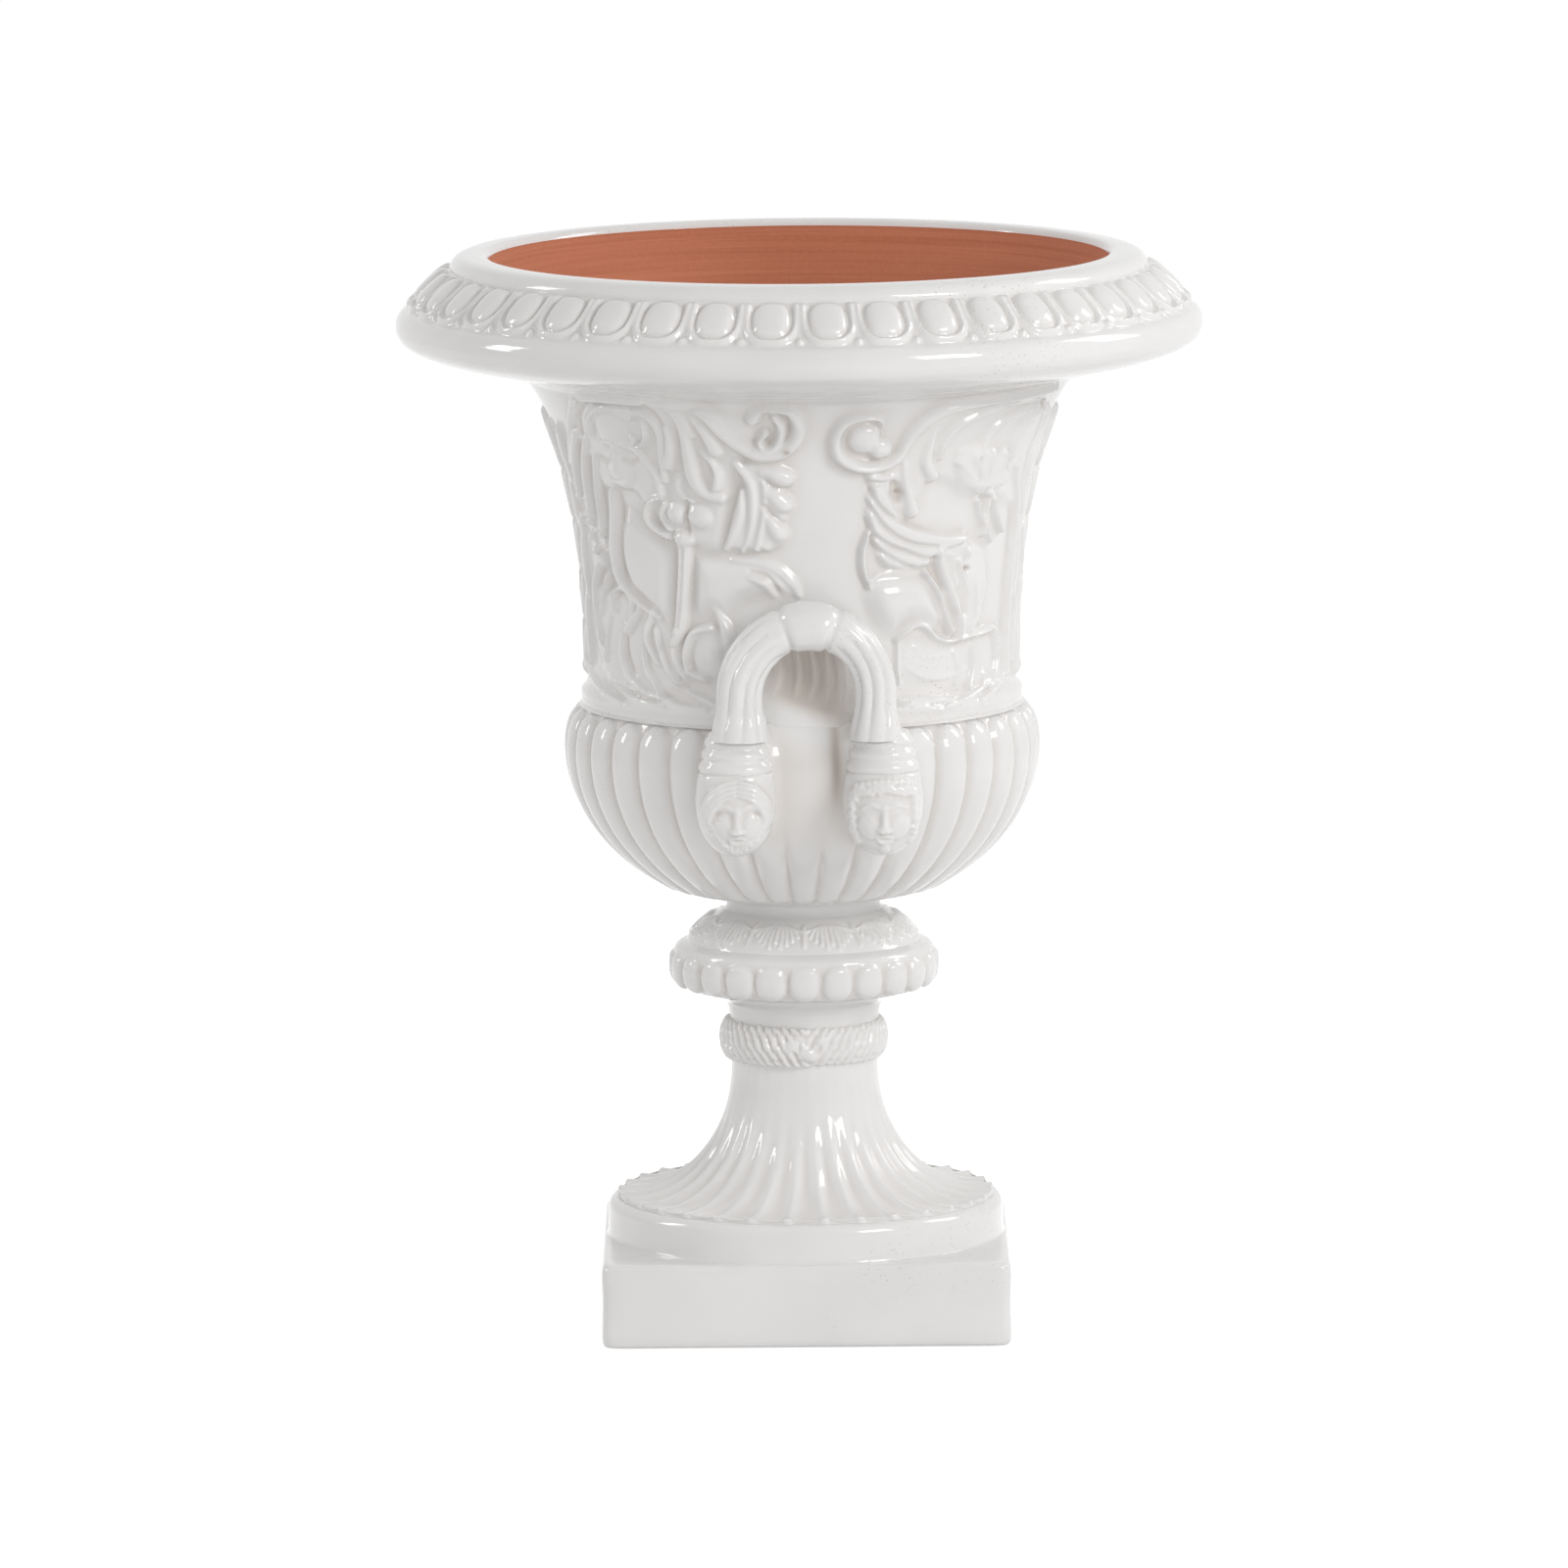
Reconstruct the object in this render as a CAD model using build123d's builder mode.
from build123d import *
from math import asin, cos, degrees, pi, radians, sin, sqrt
import os

os.makedirs("parts", exist_ok=True)

# Base, in millimetres
plinth_width = 228.0
plinth_height = 47.0
plinth_wall = 15.0
plinth_top = 13.0
plinth_round = 3.5
drum_setback = 3.0
drum_height = 21.0
drum_round = 6.0
base_bore = 70.0
base_entry = 8.0
base_spigot_wall = 6.0

# Foot and stem
foot_height = 77.5
foot_edge = 3.0
foot_sweep = 2.15
foot_hollow_rise = 38.0
flute_count = 32
flute_depth = 2.2
stem_radius = 41.0
spigot_radius = 33.0
spigot_entry = 6.0
core_radius = 22.0
wreath_height = 24.0
wreath_bulge = 6.8
leaf_count = 22
neck_height = 20.5
neck_flare = 65.0
bead_ring_height = 22.0
bead_ring_radius = 70.0
bead_count = 24
bead_reach = 6.3
cap_height = 18.0
cap_radius = 67.0
cap_lobes = 24
cap_lobe_depth = 1.8
cap_shoulder = 2.5
collar_height = 6.0
collar_radius = 44.0
collar_waist = 1.0

# Bowl
bowl_height = 110.0
bowl_radius = 133.0
bowl_rise = 88.0
bowl_drop = 98.0
bowl_crown = 72.0
gadroon_count = 36
gadroon_depth = 4.6
gadroon_back = 7.0
skin_floor = 4.0
bowl_floor = 8.0
vessel_wall = 13.0
wall_spigot = 6.0
wall_entry = 6.0

# Bell wall
wall_height = 185.0
wall_setback = 0.2
wall_waist = 8.4
wall_flare = 35.0
wall_base_roll = 3.0
wall_base_roll_height = 11.0

# Rim
rim_height = 69.0
rim_radius = 225.0
rim_roll_level = 28.7
rim_roll_height = 22.0
rim_roll_top = 9.4
lip_setback = 32.0
lip_drop = 8.0
lip_width = 18.4
lip_round = 9.0
egg_count = 42
egg_length = 28.0
egg_width = 26.5
egg_reach = 5.5
egg_bed = 4.0
husk_length = 31.0
husk_width = 28.6
husk_rib = 2.0
husk_reach = 3.0

# Handles and masks
horn_spread = 38.3
horn_radius = 12.4
horn_reeds = 9
horn_reed_depth = 1.3
handle_standoff = 15.6
handle_leg = 22.5
horn_sweep = 68.0
knuckle_radius = 15.0
knuckle_bite = 2.0
mask_spread = 40.5
mask_standoff = 4.0
mask_radius = 20.8
mask_length = 58.0
mask_overlap = 12.0
cap_band_height = 21.0
cap_band_radius = 17.2
cap_band_bulge = 1.1
nose_reach = 5.0
nose_height = 3.0
chin_radius = 8.0
chin_reach = 0.5

# Frieze
relief_height = 5.0
frieze_turn = 35.0

# Slip joint left between parts that are pushed together
lute = 0.2

drum_z = plinth_height
foot_z = drum_z + drum_height
wreath_z = foot_z + foot_height
neck_z = wreath_z + wreath_height
bead_z = neck_z + neck_height
cap_z = bead_z + bead_ring_height
collar_z = cap_z + cap_height
bowl_z = collar_z + collar_height
belly_z = bowl_z + bowl_rise
wall_z = bowl_z + bowl_height
rim_z = wall_z + wall_height
top_z = rim_z + rim_height
handle_level = wall_z

drum_radius = plinth_width / 2 - drum_setback
foot_radius = drum_radius - drum_round
lip_radius = rim_radius - lip_setback
mouth_radius = lip_radius - lip_width
mask_reach = bowl_radius + mask_standoff


def around(radius, angle):
    return (radius * cos(radians(angle)), radius * sin(radians(angle)))


def scalloped_outline(crest, depth, count, outward):
    """Draw a closed ring of arcs: lobes that swell outward, or flutes that dip inward."""
    step = 360.0 / count
    ends = crest - depth if outward else crest
    middle = crest if outward else crest - depth
    for k in range(count):
        start = around(ends, (k - 0.5) * step)
        through = around(middle, k * step)
        stop = around(ends, (k + 0.5) * step)
        ThreePointArc(start, through, stop)


def foot_curve(height):
    """Outer radius of the trumpet foot at a height above its edge."""
    climb = (foot_height - height) / (foot_height - foot_edge)
    rest = max(0.0, 1.0 - max(0.0, climb) ** foot_sweep)
    return foot_radius - (foot_radius - stem_radius) * rest ** (1.0 / foot_sweep)


def bowl_curve(level):
    """Radius over the gadroon crests at a level."""
    span = bowl_drop if level < belly_z else bowl_crown
    return bowl_radius * sqrt(max(0.0, 1.0 - ((level - belly_z) / span) ** 2))


wall_base_radius = bowl_curve(wall_z) - wall_setback
wall_waist_radius = wall_base_radius - wall_waist
wall_top_radius = wall_waist_radius + wall_flare
handle_reach = wall_base_radius + handle_standoff
knuckle_depth = handle_reach - wall_waist_radius + knuckle_bite


def wall_points(offset):
    """The outer line of the bell wall from its base roll to the rim, moved out by an offset."""
    low = wall_z + wall_base_roll_height
    rise = rim_z - low
    return [
        (wall_waist_radius + offset, low),
        (wall_waist_radius + 0.02 * wall_flare + offset, low + 0.24 * rise),
        (wall_waist_radius + 0.13 * wall_flare + offset, low + 0.48 * rise),
        (wall_waist_radius + 0.34 * wall_flare + offset, low + 0.69 * rise),
        (wall_waist_radius + 0.62 * wall_flare + offset, low + 0.88 * rise),
        (wall_top_radius + offset, rim_z),
    ]


def half_ellipse(along, across):
    """Draw half an ellipse that is closed along its local Y axis."""
    EllipticalCenterArc((0, 0), across, along, start_angle=-90, arc_size=180)
    Line((0, along), (0, -along))


# Square plinth, hollow and open below
with BuildPart() as square_plinth:
    with BuildSketch():
        Rectangle(plinth_width, plinth_width)
    extrude(amount=plinth_height)
    fillet(square_plinth.edges().filter_by(Axis.Z), plinth_round)
    fillet(square_plinth.faces().sort_by(Axis.Z)[-1].edges(), plinth_round)
    with BuildSketch():
        Rectangle(plinth_width - 2 * plinth_wall, plinth_width - 2 * plinth_wall)
    extrude(amount=plinth_height - plinth_top, mode=Mode.SUBTRACT)
    with BuildSketch():
        Circle(base_bore)
    extrude(amount=plinth_height, mode=Mode.SUBTRACT)
square_plinth.part.label = "square_plinth"
export_step(square_plinth.part, "parts/square_plinth.step")

# Round drum with a spigot that locates it in the plinth
drum_bore = base_bore - base_spigot_wall
with BuildPart() as plinth_drum:
    with BuildSketch(Plane.XZ):
        with BuildLine():
            Polyline(
                (drum_bore, drum_z - base_entry),
                (base_bore - lute, drum_z - base_entry),
                (base_bore - lute, drum_z),
                (drum_radius, drum_z),
                (drum_radius, foot_z - drum_round),
            )
            RadiusArc((drum_radius, foot_z - drum_round), (foot_radius, foot_z), -drum_round)
            Polyline((foot_radius, foot_z), (drum_bore, foot_z), (drum_bore, drum_z - base_entry))
        make_face()
    revolve(axis=Axis.Z)
plinth_drum.part.label = "plinth_drum"
export_step(plinth_drum.part, "parts/plinth_drum.step")

# Fluted trumpet foot, hollow, with a spigot below and a long one above
foot_bore = drum_bore - base_spigot_wall
with BuildPart() as fluted_foot:
    for share in (0.0, 0.0375, 0.055, 0.09, 0.15, 0.23, 0.33, 0.47, 0.68, 1.0):
        height = share * foot_height
        radius = foot_curve(height)
        depth = flute_depth * (0.12 + 0.88 * (radius - stem_radius) / (foot_radius - stem_radius))
        with BuildSketch(Plane.XY.offset(foot_z + height)):
            with BuildLine():
                scalloped_outline(radius, depth, flute_count, False)
            make_face()
    loft()
    with BuildSketch(Plane.XY.offset(foot_z - base_entry)):
        Circle(drum_bore - lute)
    extrude(amount=base_entry)
    with BuildSketch(Plane.XY.offset(wreath_z)):
        Circle(spigot_radius)
    extrude(amount=wreath_height + spigot_entry)
    with BuildSketch(Plane.XZ):
        with BuildLine():
            Polyline(
                (0, foot_z - base_entry),
                (foot_bore, foot_z - base_entry),
                (foot_bore, foot_z),
            )
            Spline(
                (foot_bore, foot_z),
                (core_radius, foot_z + foot_hollow_rise),
                tangents=((-0.6, 0.8), (0, 1)),
            )
            Polyline(
                (core_radius, foot_z + foot_hollow_rise),
                (core_radius, neck_z + spigot_entry),
                (0, neck_z + spigot_entry),
                (0, foot_z - base_entry),
            )
        make_face()
    revolve(axis=Axis.Z, mode=Mode.SUBTRACT)
fluted_foot.part.label = "fluted_foot"
export_step(fluted_foot.part, "parts/fluted_foot.step")

# Laurel ring threaded on the foot's spigot
wreath_radius = stem_radius + wreath_bulge
wreath_mid_z = wreath_z + wreath_height / 2
leaf_across = 0.6 * wreath_bulge
leaf_origin = (wreath_radius - leaf_across, 0, wreath_mid_z)
leaf_plane = Plane(origin=leaf_origin, x_dir=(1, 0, 0), z_dir=(0, 0.8, 0.6))
with BuildPart() as leaf:
    with BuildSketch(leaf_plane):
        with BuildLine():
            half_ellipse(0.35 * wreath_height, leaf_across)
        make_face()
    revolve(axis=Axis(leaf_plane.origin, leaf_plane.y_dir))

with BuildPart() as wreath_band:
    with BuildSketch(Plane.XZ):
        with BuildLine():
            Line((spigot_radius + lute, wreath_z), (stem_radius, wreath_z))
            ThreePointArc(
                (stem_radius, wreath_z),
                (stem_radius + 0.78 * wreath_bulge, wreath_mid_z),
                (stem_radius, neck_z),
            )
            Polyline(
                (stem_radius, neck_z),
                (spigot_radius + lute, neck_z),
                (spigot_radius + lute, wreath_z),
            )
        make_face()
    revolve(axis=Axis.Z)
    with PolarLocations(0, leaf_count):
        add(leaf.part)
wreath_band.part.label = "wreath_band"
export_step(wreath_band.part, "parts/wreath_band.step")

# Hollow-moulded neck, socketed below and spigoted above
with BuildPart() as stem_neck:
    with BuildSketch(Plane.XZ):
        with BuildLine():
            Polyline(
                (core_radius, neck_z + spigot_entry + lute),
                (spigot_radius + lute, neck_z + spigot_entry + lute),
                (spigot_radius + lute, neck_z),
                (stem_radius, neck_z),
            )
            Spline(
                (stem_radius, neck_z),
                (stem_radius + 0.21 * (neck_flare - stem_radius), neck_z + 0.52 * neck_height),
                (neck_flare, bead_z),
                tangents=((0, 1), (1, 0.4)),
            )
            Polyline(
                (neck_flare, bead_z),
                (spigot_radius, bead_z),
                (spigot_radius, cap_z + spigot_entry),
                (core_radius, cap_z + spigot_entry),
                (core_radius, neck_z + spigot_entry + lute),
            )
        make_face()
    revolve(axis=Axis.Z)
stem_neck.part.label = "stem_neck"
export_step(stem_neck.part, "parts/stem_neck.step")

# Ring of beads on the knop
bead_width = 0.96 * pi * bead_ring_radius / bead_count
bead_plane = Plane(
    origin=(bead_ring_radius + bead_reach - bead_width, 0, bead_z + 0.46 * bead_ring_height),
    x_dir=(1, 0, 0),
    z_dir=(0, -1, 0),
)
with BuildPart() as bead:
    with BuildSketch(bead_plane):
        with BuildLine():
            half_ellipse(0.42 * bead_ring_height, bead_width)
        make_face()
    revolve(axis=Axis(bead_plane.origin, (0, 0, 1)))

with BuildPart() as knop_bead_ring:
    with BuildSketch(Plane.XZ):
        with BuildLine():
            Line((spigot_radius + lute, bead_z), (neck_flare, bead_z))
            ThreePointArc(
                (neck_flare, bead_z),
                (bead_ring_radius, bead_z + bead_ring_height / 2),
                (cap_radius, cap_z),
            )
            Polyline(
                (cap_radius, cap_z),
                (spigot_radius + lute, cap_z),
                (spigot_radius + lute, bead_z),
            )
        make_face()
    revolve(axis=Axis.Z)
    with PolarLocations(0, bead_count):
        add(bead.part)
knop_bead_ring.part.label = "knop_bead_ring"
export_step(knop_bead_ring.part, "parts/knop_bead_ring.step")

# Leaf-carved shoulder of the knop
with BuildPart() as knop_cap:
    for share in (0.0, 0.3, 0.6, 0.85, 1.0):
        shoulder = collar_radius + cap_shoulder
        radius = shoulder + (cap_radius - shoulder) * (1.0 - 0.985 * share**1.7) ** 0.62
        with BuildSketch(Plane.XY.offset(cap_z + share * cap_height)):
            with BuildLine():
                scalloped_outline(radius, cap_lobe_depth, cap_lobes, True)
            make_face()
    loft()
    with BuildSketch(Plane.XY.offset(collar_z)):
        Circle(spigot_radius)
    extrude(amount=collar_height + spigot_entry)
    with BuildSketch(Plane.XY.offset(cap_z)):
        Circle(spigot_radius + lute)
    extrude(amount=spigot_entry + lute, mode=Mode.SUBTRACT)
    with BuildSketch(Plane.XY.offset(cap_z)):
        Circle(core_radius)
    extrude(amount=cap_height + collar_height + spigot_entry, mode=Mode.SUBTRACT)
knop_cap.part.label = "knop_cap"
export_step(knop_cap.part, "parts/knop_cap.step")

# Plain collar threaded on the cap's spigot
with BuildPart() as bowl_collar:
    with BuildSketch(Plane.XZ):
        with BuildLine():
            Line((spigot_radius + lute, collar_z), (collar_radius, collar_z))
            ThreePointArc(
                (collar_radius, collar_z),
                (collar_radius - collar_waist, collar_z + collar_height / 2),
                (collar_radius, bowl_z),
            )
            Polyline(
                (collar_radius, bowl_z),
                (spigot_radius + lute, bowl_z),
                (spigot_radius + lute, collar_z),
            )
        make_face()
    revolve(axis=Axis.Z)
bowl_collar.part.label = "bowl_collar"
export_step(bowl_collar.part, "parts/bowl_collar.step")

# Plain bowl with its floor, socketed below and rebated above
back_radius = bowl_radius - gadroon_back
back_drop = bowl_rise - skin_floor
back_mouth = back_radius * bowl_curve(wall_z) / bowl_radius
socket_z = bowl_z + spigot_entry + lute
inner_radius = bowl_radius - vessel_wall
inner_drop = belly_z - socket_z - bowl_floor
bowl_mouth = bowl_curve(wall_z) - vessel_wall
with BuildPart() as bowl_shell:
    with BuildSketch(Plane.XZ):
        with BuildLine():
            EllipticalCenterArc(
                (0, belly_z),
                back_radius - lute,
                back_drop - lute,
                start_angle=-90,
                arc_size=90,
            )
            Spline(
                (back_radius - lute, belly_z),
                (bowl_curve((wall_z + belly_z) / 2) - gadroon_back - lute, (wall_z + belly_z) / 2),
                (back_mouth - lute, wall_z),
                tangents=((0, 1), (-0.5, 1)),
            )
            Polyline(
                (back_mouth - lute, wall_z),
                (bowl_mouth + lute, wall_z),
                (bowl_mouth + lute, wall_z - wall_entry - lute),
                (bowl_mouth, wall_z - wall_entry - lute),
                (inner_radius, belly_z),
            )
            EllipticalCenterArc((0, belly_z), inner_radius, inner_drop, start_angle=-90, arc_size=90)
            Line((0, belly_z - inner_drop), (0, belly_z - back_drop + lute))
        make_face()
    revolve(axis=Axis.Z)
    with BuildSketch(Plane.XY.offset(bowl_z)):
        Circle(spigot_radius + lute)
    extrude(amount=spigot_entry + lute, mode=Mode.SUBTRACT)
bowl_shell.part.label = "bowl_shell"
export_step(bowl_shell.part, "parts/bowl_shell.step")

# Lobed skin that cups the plain bowl
with BuildPart() as gadrooned_bowl:
    for share in (0.0, 0.035, 0.09, 0.18, 0.32, 0.52, 0.76, 0.91, 0.965, 1.0):
        level = bowl_z + share * bowl_height
        radius = bowl_curve(level)
        rounded = sqrt(max(0.0, 1.0 - max(0.0, (share - 0.8) / 0.2) ** 3))
        depth = gadroon_depth * (0.15 + 0.85 * rounded) * radius / bowl_radius
        with BuildSketch(Plane.XY.offset(level)):
            with BuildLine():
                scalloped_outline(radius, depth, gadroon_count, True)
            make_face()
    loft()
    with BuildSketch(Plane.XZ):
        with BuildLine():
            EllipticalCenterArc((0, belly_z), back_radius, back_drop, start_angle=-90, arc_size=90)
            Spline(
                (back_radius, belly_z),
                (bowl_curve((wall_z + belly_z) / 2) - gadroon_back, (wall_z + belly_z) / 2),
                (back_mouth, wall_z),
                tangents=((0, 1), (-0.5, 1)),
            )
            Polyline((back_mouth, wall_z), (0, wall_z), (0, belly_z - back_drop))
        make_face()
    revolve(axis=Axis.Z, mode=Mode.SUBTRACT)
    with BuildSketch(Plane.XY.offset(bowl_z)):
        Circle(spigot_radius + lute)
    extrude(amount=spigot_entry + lute, mode=Mode.SUBTRACT)
gadrooned_bowl.part.label = "gadrooned_bowl"
export_step(gadrooned_bowl.part, "parts/gadrooned_bowl.step")

# Flaring bell wall with a roll at its base and a spigot that enters the bowl
with BuildPart() as bell_wall:
    with BuildSketch(Plane.XZ):
        with BuildLine():
            outer = wall_points(0.0)
            inner = wall_points(-vessel_wall)
            Polyline(
                (bowl_mouth - wall_spigot, wall_z - wall_entry),
                (bowl_mouth, wall_z - wall_entry),
                (bowl_mouth, wall_z),
                (wall_base_radius, wall_z),
            )
            ThreePointArc(
                (wall_base_radius, wall_z),
                (wall_base_radius + wall_base_roll, wall_z + wall_base_roll_height / 2),
                outer[0],
            )
            Spline(*outer)
            Line(outer[-1], inner[-1])
            Spline(*reversed(inner))
            Line(inner[0], (bowl_mouth - wall_spigot, wall_z - wall_entry))
        make_face()
    revolve(axis=Axis.Z)
bell_wall.part.label = "bell_wall"
export_step(bell_wall.part, "parts/bell_wall.step")

# Everted rim with its roll and a sloping bed for the eggs
roll_z = rim_z + rim_roll_level
bed_low = (rim_radius - rim_roll_top, roll_z + rim_roll_top)
bed_high = (lip_radius, top_z - lip_drop)
bed_run = sqrt((bed_high[0] - bed_low[0]) ** 2 + (bed_high[1] - bed_low[1]) ** 2)
bed_up = ((bed_high[0] - bed_low[0]) / bed_run, (bed_high[1] - bed_low[1]) / bed_run)
bed_out = (bed_up[1], -bed_up[0])
sunk_low = (bed_low[0] - egg_bed * bed_out[0], bed_low[1] - egg_bed * bed_out[1])
sunk_high = (bed_high[0] - egg_bed * bed_out[0], bed_high[1] - egg_bed * bed_out[1])
with BuildPart() as rim_flange:
    with BuildSketch(Plane.XZ):
        with BuildLine():
            Spline(
                (wall_top_radius, rim_z),
                (0.55 * wall_top_radius + 0.45 * rim_radius, rim_z + 0.31 * rim_roll_level),
                (rim_radius - rim_roll_height / 2, roll_z - rim_roll_height / 2),
                tangents=((1, 0.35), (1, 0.4)),
            )
            ThreePointArc(
                (rim_radius - rim_roll_height / 2, roll_z - rim_roll_height / 2),
                (rim_radius, roll_z),
                bed_low,
            )
            Polyline(bed_low, sunk_low, sunk_high, bed_high)
            Line((mouth_radius, top_z), (lip_radius - lip_round, top_z))
            TangentArc((lip_radius - lip_round, top_z), bed_high, tangent=(1, 0))
            Spline(
                (mouth_radius, top_z),
                (0.62 * mouth_radius + 0.38 * (wall_top_radius - vessel_wall), rim_z + 0.5 * rim_height),
                (wall_top_radius - vessel_wall, rim_z),
                tangents=((-0.2, -1), (-0.5, -0.85)),
            )
            Line((wall_top_radius - vessel_wall, rim_z), (wall_top_radius, rim_z))
        make_face()
    revolve(axis=Axis.Z)
rim_flange.part.label = "rim_flange"
export_step(rim_flange.part, "parts/rim_flange.step")

# Ring of eggs laid in the rim's bed
egg_mid = ((bed_low[0] + bed_high[0]) / 2, (bed_low[1] + bed_high[1]) / 2)
egg_depth = egg_width / 2 - egg_reach
egg_centre = (egg_mid[0] - egg_depth * bed_out[0], 0, egg_mid[1] - egg_depth * bed_out[1])
egg_plane = Plane(origin=egg_centre, x_dir=(bed_out[0], 0, bed_out[1]), z_dir=(0, -1, 0))
with BuildPart() as egg:
    with BuildSketch(egg_plane):
        with BuildLine():
            half_ellipse(egg_length / 2, egg_width / 2)
        make_face()
    revolve(axis=Axis(egg_plane.origin, egg_plane.y_dir))

husk_plane = Plane(
    origin=(egg_mid[0] - egg_bed * bed_out[0], 0, egg_mid[1] - egg_bed * bed_out[1]),
    x_dir=(0, 1, 0),
    z_dir=(bed_out[0], 0, bed_out[1]),
)
with BuildPart() as husk:
    with BuildSketch(husk_plane):
        Ellipse(husk_width / 2, husk_length / 2)
        Ellipse(husk_width / 2 - husk_rib, husk_length / 2 - husk_rib, mode=Mode.SUBTRACT)
    extrude(amount=egg_bed + husk_reach)

with BuildPart() as egg_band:
    with BuildSketch(Plane.XZ):
        with BuildLine():
            Polyline(bed_low, bed_high, sunk_high, sunk_low, close=True)
        make_face()
    revolve(axis=Axis.Z)
    with PolarLocations(0, egg_count, start_angle=-90):
        add(egg.part)
        add(husk.part)
    with BuildSketch(Plane.XZ):
        with BuildLine():
            deep = 1.5 * egg_width
            deep_low = (sunk_low[0] - deep * bed_out[0], sunk_low[1] - deep * bed_out[1])
            deep_high = (sunk_high[0] - deep * bed_out[0], sunk_high[1] - deep * bed_out[1])
            Polyline(sunk_low, sunk_high, deep_high, deep_low, close=True)
        make_face()
    revolve(axis=Axis.Z, mode=Mode.SUBTRACT)
egg_band.part.label = "egg_band"
export_step(egg_band.part, "parts/egg_band.step")

# Solid of revolution that stands for the outside of bowl and wall, one slip joint larger
with BuildPart() as body_seat:
    with BuildSketch(Plane.XZ):
        with BuildLine():
            rise = sqrt(1.0 - ((wall_z - belly_z) / bowl_crown) ** 2)
            Line((0, belly_z - bowl_drop - lute), (0, rim_z))
            Line((0, rim_z), (wall_top_radius + lute, rim_z))
            Spline(*reversed(wall_points(lute)))
            ThreePointArc(
                wall_points(lute)[0],
                (wall_base_radius + wall_base_roll + lute, wall_z + wall_base_roll_height / 2),
                (bowl_radius * rise + lute, wall_z),
            )
            Spline(
                (bowl_radius * rise + lute, wall_z),
                (bowl_curve((wall_z + belly_z) / 2) + lute, (wall_z + belly_z) / 2),
                (bowl_radius + lute, belly_z),
                tangents=((0.5, -1), (0, -1)),
            )
            EllipticalCenterArc(
                (0, belly_z),
                bowl_radius + lute,
                bowl_drop + lute,
                start_angle=-90,
                arc_size=90,
            )
        make_face()
    revolve(axis=Axis.Z)


def horn_path(side):
    """Centre line of one horn: a straight leg, then an arc towards the knuckle."""
    arc_z = handle_level + handle_leg
    half = radians(horn_sweep / 2)
    full = radians(horn_sweep)
    foot = (side * horn_spread, -handle_reach, handle_level)
    bend = (side * horn_spread, -handle_reach, arc_z)
    middle = (side * horn_spread * cos(half), -handle_reach, arc_z + horn_spread * sin(half))
    end = (side * horn_spread * cos(full), -handle_reach, arc_z + horn_spread * sin(full))
    Line(foot, bend)
    ThreePointArc(bend, middle, end)


# Reeded horns of the front handle
with BuildPart() as front_left_horn:
    with BuildLine():
        horn_path(-1)
    with BuildSketch(Plane(origin=(-horn_spread, -handle_reach, handle_level))):
        with BuildLine():
            scalloped_outline(horn_radius, horn_reed_depth, horn_reeds, True)
        make_face()
    sweep()
front_left_horn.part.label = "front_left_horn"
export_step(front_left_horn.part, "parts/front_left_horn.step")

with BuildPart() as front_right_horn:
    with BuildLine():
        horn_path(1)
    with BuildSketch(Plane(origin=(horn_spread, -handle_reach, handle_level))):
        with BuildLine():
            scalloped_outline(horn_radius, horn_reed_depth, horn_reeds, True)
        make_face()
    sweep()
front_right_horn.part.label = "front_right_horn"
export_step(front_right_horn.part, "parts/front_right_horn.step")

# Smooth knuckle that takes both horns and leans on the wall
knuckle_z = handle_level + handle_leg + horn_spread
knuckle_plane = Plane(origin=(0, -handle_reach, knuckle_z), x_dir=(1, 0, 0), z_dir=(0, 0, 1))
with BuildPart() as front_knuckle:
    with BuildSketch(knuckle_plane):
        with BuildLine():
            half_ellipse(knuckle_depth, knuckle_radius)
        make_face()
    revolve(axis=Axis(knuckle_plane.origin, knuckle_plane.y_dir))
    add(body_seat.part, mode=Mode.SUBTRACT)
    add(front_left_horn.part, mode=Mode.SUBTRACT)
    add(front_right_horn.part, mode=Mode.SUBTRACT)
front_knuckle.part.label = "front_knuckle"
export_step(front_knuckle.part, "parts/front_knuckle.step")


# Blank of a mask with its three-ringed cap, on its own axis
mask_base_z = handle_level - cap_band_height
ring_height = cap_band_height / 3
head_z = mask_base_z + mask_overlap - mask_length / 2
neck_lift = mask_base_z - head_z
head_at_cap = mask_radius * sqrt(1.0 - (2 * neck_lift / mask_length) ** 2)
with BuildPart() as mask_blank:
    with BuildSketch(Plane.XZ):
        with BuildLine():
            EllipticalCenterArc(
                (0, head_z),
                mask_radius,
                mask_length / 2,
                start_angle=-90,
                arc_size=90 + degrees(asin(2 * neck_lift / mask_length)),
            )
            Line((head_at_cap, mask_base_z), (cap_band_radius, mask_base_z))
            for k in range(3):
                ThreePointArc(
                    (cap_band_radius, mask_base_z + k * ring_height),
                    (cap_band_radius + cap_band_bulge, mask_base_z + (k + 0.5) * ring_height),
                    (cap_band_radius, mask_base_z + (k + 1) * ring_height),
                )
            Polyline((cap_band_radius, handle_level), (0, handle_level), (0, head_z - mask_length / 2))
        make_face()
    revolve(axis=Axis.Z)
    with Locations((0, -mask_radius + nose_reach - nose_height, head_z - 0.04 * mask_length)):
        Sphere(nose_reach)
    with Locations((0, -mask_radius - chin_reach + chin_radius, head_z - 0.3 * mask_length)):
        Sphere(chin_radius)

# Masks under the horns, seated on the bowl
with BuildPart() as mask_front_left:
    with Locations((-mask_spread, -mask_reach, 0)):
        add(mask_blank.part)
    add(body_seat.part, mode=Mode.SUBTRACT)
mask_front_left.part.label = "mask_front_left"
export_step(mask_front_left.part, "parts/mask_front_left.step")

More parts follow.
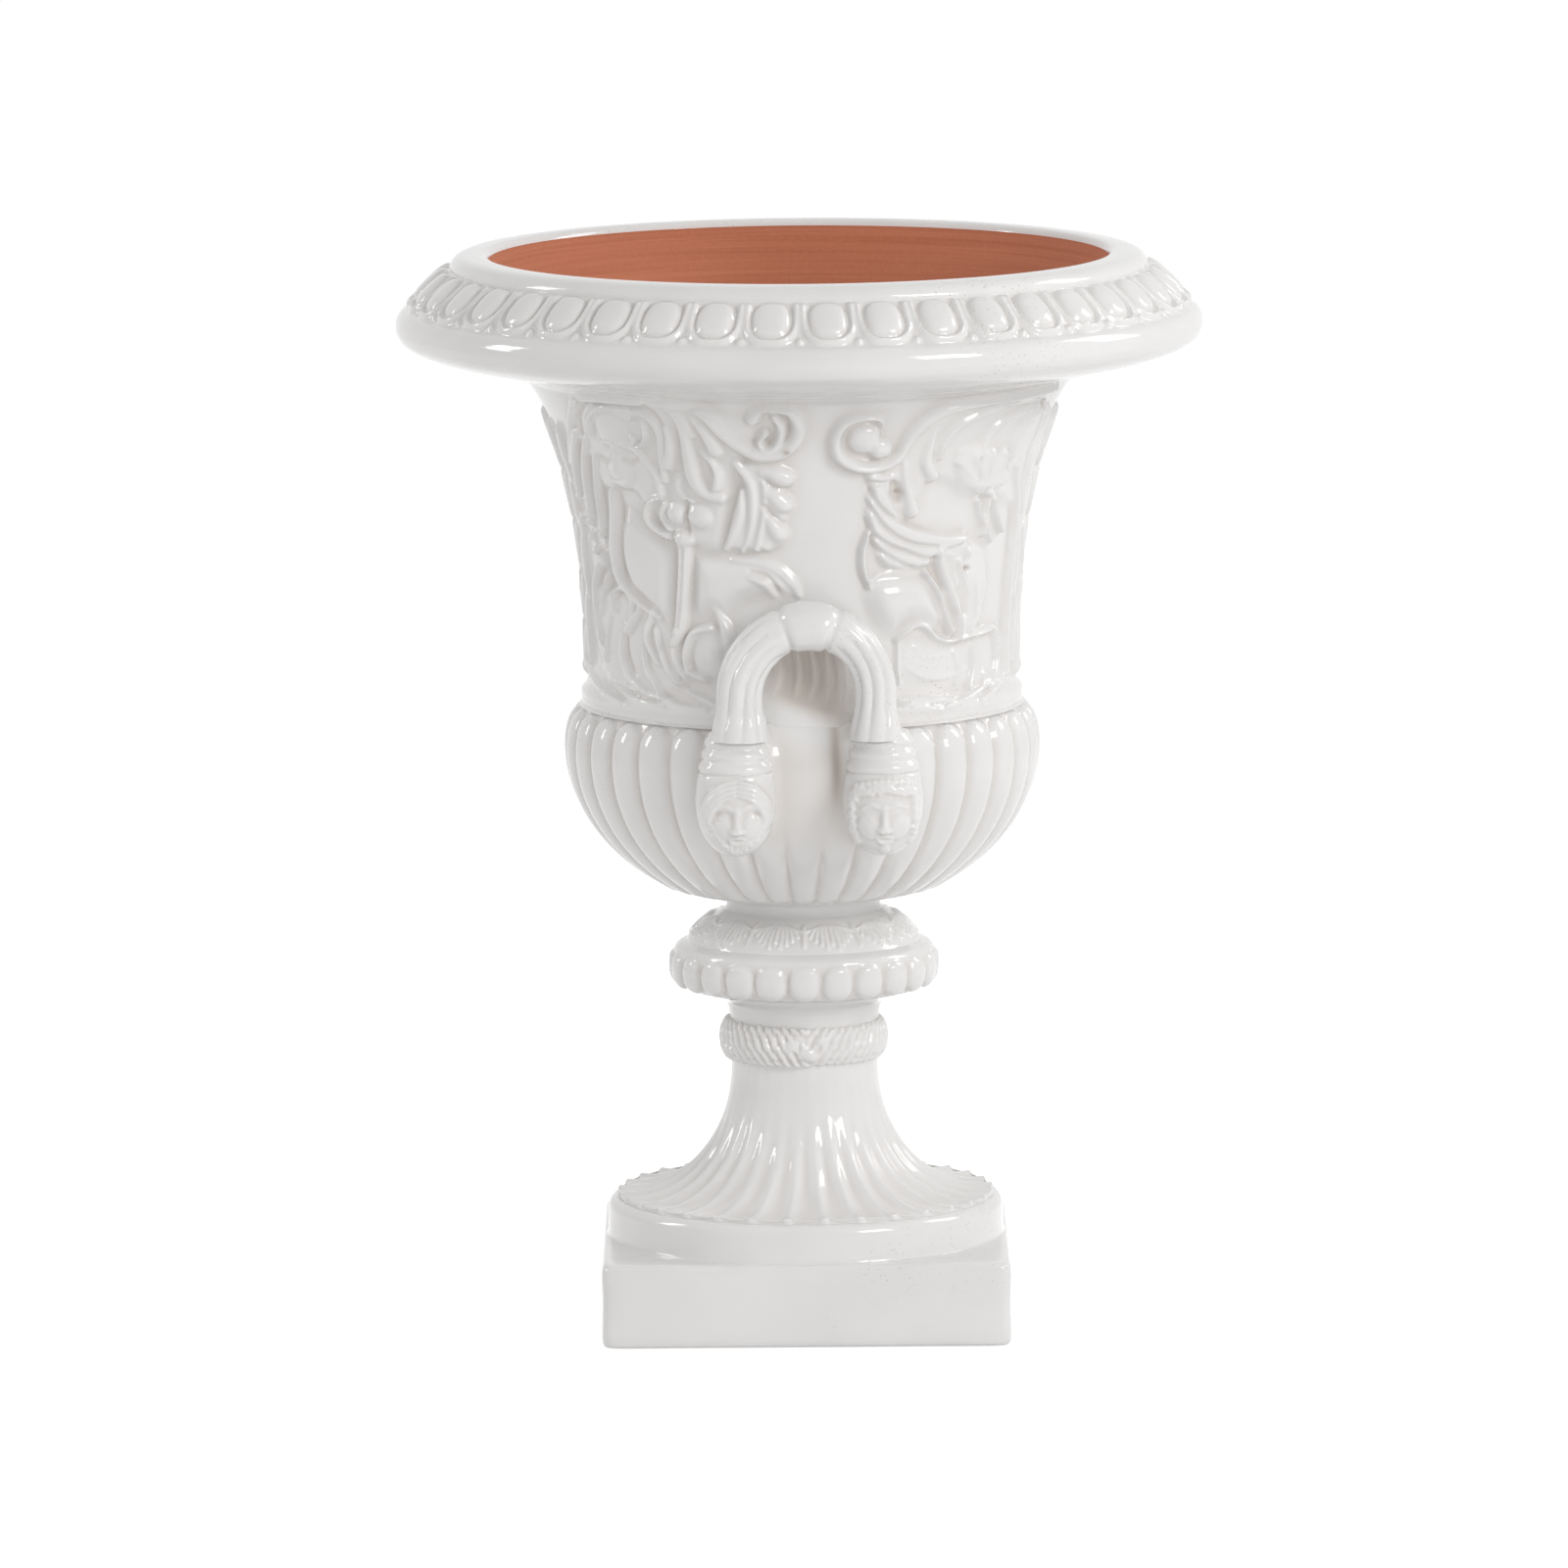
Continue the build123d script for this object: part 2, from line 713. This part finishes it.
with BuildPart() as mask_front_right:
    with Locations((mask_spread, -mask_reach, 0)):
        add(mask_blank.part)
    add(body_seat.part, mode=Mode.SUBTRACT)
mask_front_right.part.label = "mask_front_right"
export_step(mask_front_right.part, "parts/mask_front_right.step")

# Shell of the bell wall as thick as the applied relief, open where the knuckle meets the wall
with BuildPart() as relief_shell:
    with BuildSketch(Plane.XZ):
        with BuildLine():
            near = wall_points(0.0)
            far = wall_points(relief_height)
            Spline(*near)
            Line(near[-1], far[-1])
            Spline(*reversed(far))
            Line(far[0], near[0])
        make_face()
    revolve(axis=Axis.Z)
    with BuildSketch(Plane.XZ.offset(handle_reach)):
        with Locations((0, knuckle_z)):
            Circle(knuckle_radius + lute)
    extrude(amount=-handle_reach, mode=Mode.SUBTRACT)


def sprig_plane(turn):
    """Plane outside the wall that faces it, with X to the viewer's right and Y up."""
    out = (sin(radians(turn)), -cos(radians(turn)), 0)
    right = (cos(radians(turn)), sin(radians(turn)), 0)
    return Plane(origin=(rim_radius * out[0], rim_radius * out[1], wall_z), x_dir=right, z_dir=out)


def on_wall(*points):
    """Points of the frieze, given in hundredths of the wall's height."""
    return [(wall_height * x / 100, wall_height * y / 100) for x, y in points]


def griffin_outline():
    """Beast that strides away from the handle, drawn round from its beak."""
    outline = on_wall(
        (-37.3, 80.5),
        (-33, 88.6),
        (-23.8, 90.3),
        (-16.8, 83.2),
        (-15.7, 73.5),
        (-7.6, 64.3),
        (5.4, 56.2),
        (20.5, 55.7),
        (32.4, 51.4),
        (37.3, 42.7),
        (33, 32.4),
        (33.5, 14.1),
        (20.5, 13),
        (20.5, 27),
        (10.8, 33.5),
        (-2.2, 33.5),
        (-2.2, 21.6),
        (1.6, 9.7),
        (-11.9, 9.2),
        (-12.4, 24.9),
        (-17.8, 40),
        (-27.6, 56.2),
        (-30.3, 70.3),
    )
    FilletPolyline(*outline, radius=0.03 * wall_height, close=True)


def acanthus_outline():
    """Leaf scroll that sweeps over the beast and ends in a volute and hanging lobes."""
    outline = on_wall(
        (-9.7, 90.3),
        (2.2, 94.1),
        (14.1, 92.4),
        (25.9, 95.7),
        (36.2, 92.4),
        (39.5, 85.4),
        (35.1, 79.5),
        (37.3, 71.9),
        (33, 61.6),
        (26.5, 59.5),
        (21.1, 66.5),
        (15.1, 75.1),
        (5.4, 81.1),
        (-4.3, 83.8),
        (-9.7, 90.3),
    )
    Spline(*outline)


# Applied beasts and leaf scrolls of the front
with BuildPart() as griffin_front_left:
    with BuildSketch(sprig_plane(-frieze_turn)):
        with BuildLine():
            griffin_outline()
        make_face()
    extrude(amount=-rim_radius)
    add(relief_shell.part, mode=Mode.INTERSECT)
griffin_front_left.part.label = "griffin_front_left"
export_step(griffin_front_left.part, "parts/griffin_front_left.step")

with BuildPart() as acanthus_front_left:
    with BuildSketch(sprig_plane(-frieze_turn)):
        with BuildLine():
            acanthus_outline()
        make_face()
    extrude(amount=-rim_radius)
    add(relief_shell.part, mode=Mode.INTERSECT)
acanthus_front_left.part.label = "acanthus_front_left"
export_step(acanthus_front_left.part, "parts/acanthus_front_left.step")

with BuildPart() as griffin_front_right:
    add(griffin_front_left.part)
    mirror(about=Plane.YZ, mode=Mode.REPLACE)
griffin_front_right.part.label = "griffin_front_right"
export_step(griffin_front_right.part, "parts/griffin_front_right.step")

with BuildPart() as acanthus_front_right:
    add(acanthus_front_left.part)
    mirror(about=Plane.YZ, mode=Mode.REPLACE)
acanthus_front_right.part.label = "acanthus_front_right"
export_step(acanthus_front_right.part, "parts/acanthus_front_right.step")

# The rear carries the same pieces, turned half round
half_turn = Location((0, 0, 0), (0, 0, 180))

with BuildPart() as rear_left_horn:
    with Locations(half_turn):
        add(front_left_horn.part)
rear_left_horn.part.label = "rear_left_horn"
export_step(rear_left_horn.part, "parts/rear_left_horn.step")

with BuildPart() as rear_right_horn:
    with Locations(half_turn):
        add(front_right_horn.part)
rear_right_horn.part.label = "rear_right_horn"
export_step(rear_right_horn.part, "parts/rear_right_horn.step")

with BuildPart() as rear_knuckle:
    with Locations(half_turn):
        add(front_knuckle.part)
rear_knuckle.part.label = "rear_knuckle"
export_step(rear_knuckle.part, "parts/rear_knuckle.step")

with BuildPart() as mask_rear_left:
    with Locations(half_turn):
        add(mask_front_left.part)
mask_rear_left.part.label = "mask_rear_left"
export_step(mask_rear_left.part, "parts/mask_rear_left.step")

with BuildPart() as mask_rear_right:
    with Locations(half_turn):
        add(mask_front_right.part)
mask_rear_right.part.label = "mask_rear_right"
export_step(mask_rear_right.part, "parts/mask_rear_right.step")

with BuildPart() as griffin_rear_left:
    with Locations(half_turn):
        add(griffin_front_left.part)
griffin_rear_left.part.label = "griffin_rear_left"
export_step(griffin_rear_left.part, "parts/griffin_rear_left.step")

with BuildPart() as griffin_rear_right:
    with Locations(half_turn):
        add(griffin_front_right.part)
griffin_rear_right.part.label = "griffin_rear_right"
export_step(griffin_rear_right.part, "parts/griffin_rear_right.step")

with BuildPart() as acanthus_rear_left:
    with Locations(half_turn):
        add(acanthus_front_left.part)
acanthus_rear_left.part.label = "acanthus_rear_left"
export_step(acanthus_rear_left.part, "parts/acanthus_rear_left.step")

with BuildPart() as acanthus_rear_right:
    with Locations(half_turn):
        add(acanthus_front_right.part)
acanthus_rear_right.part.label = "acanthus_rear_right"
export_step(acanthus_rear_right.part, "parts/acanthus_rear_right.step")
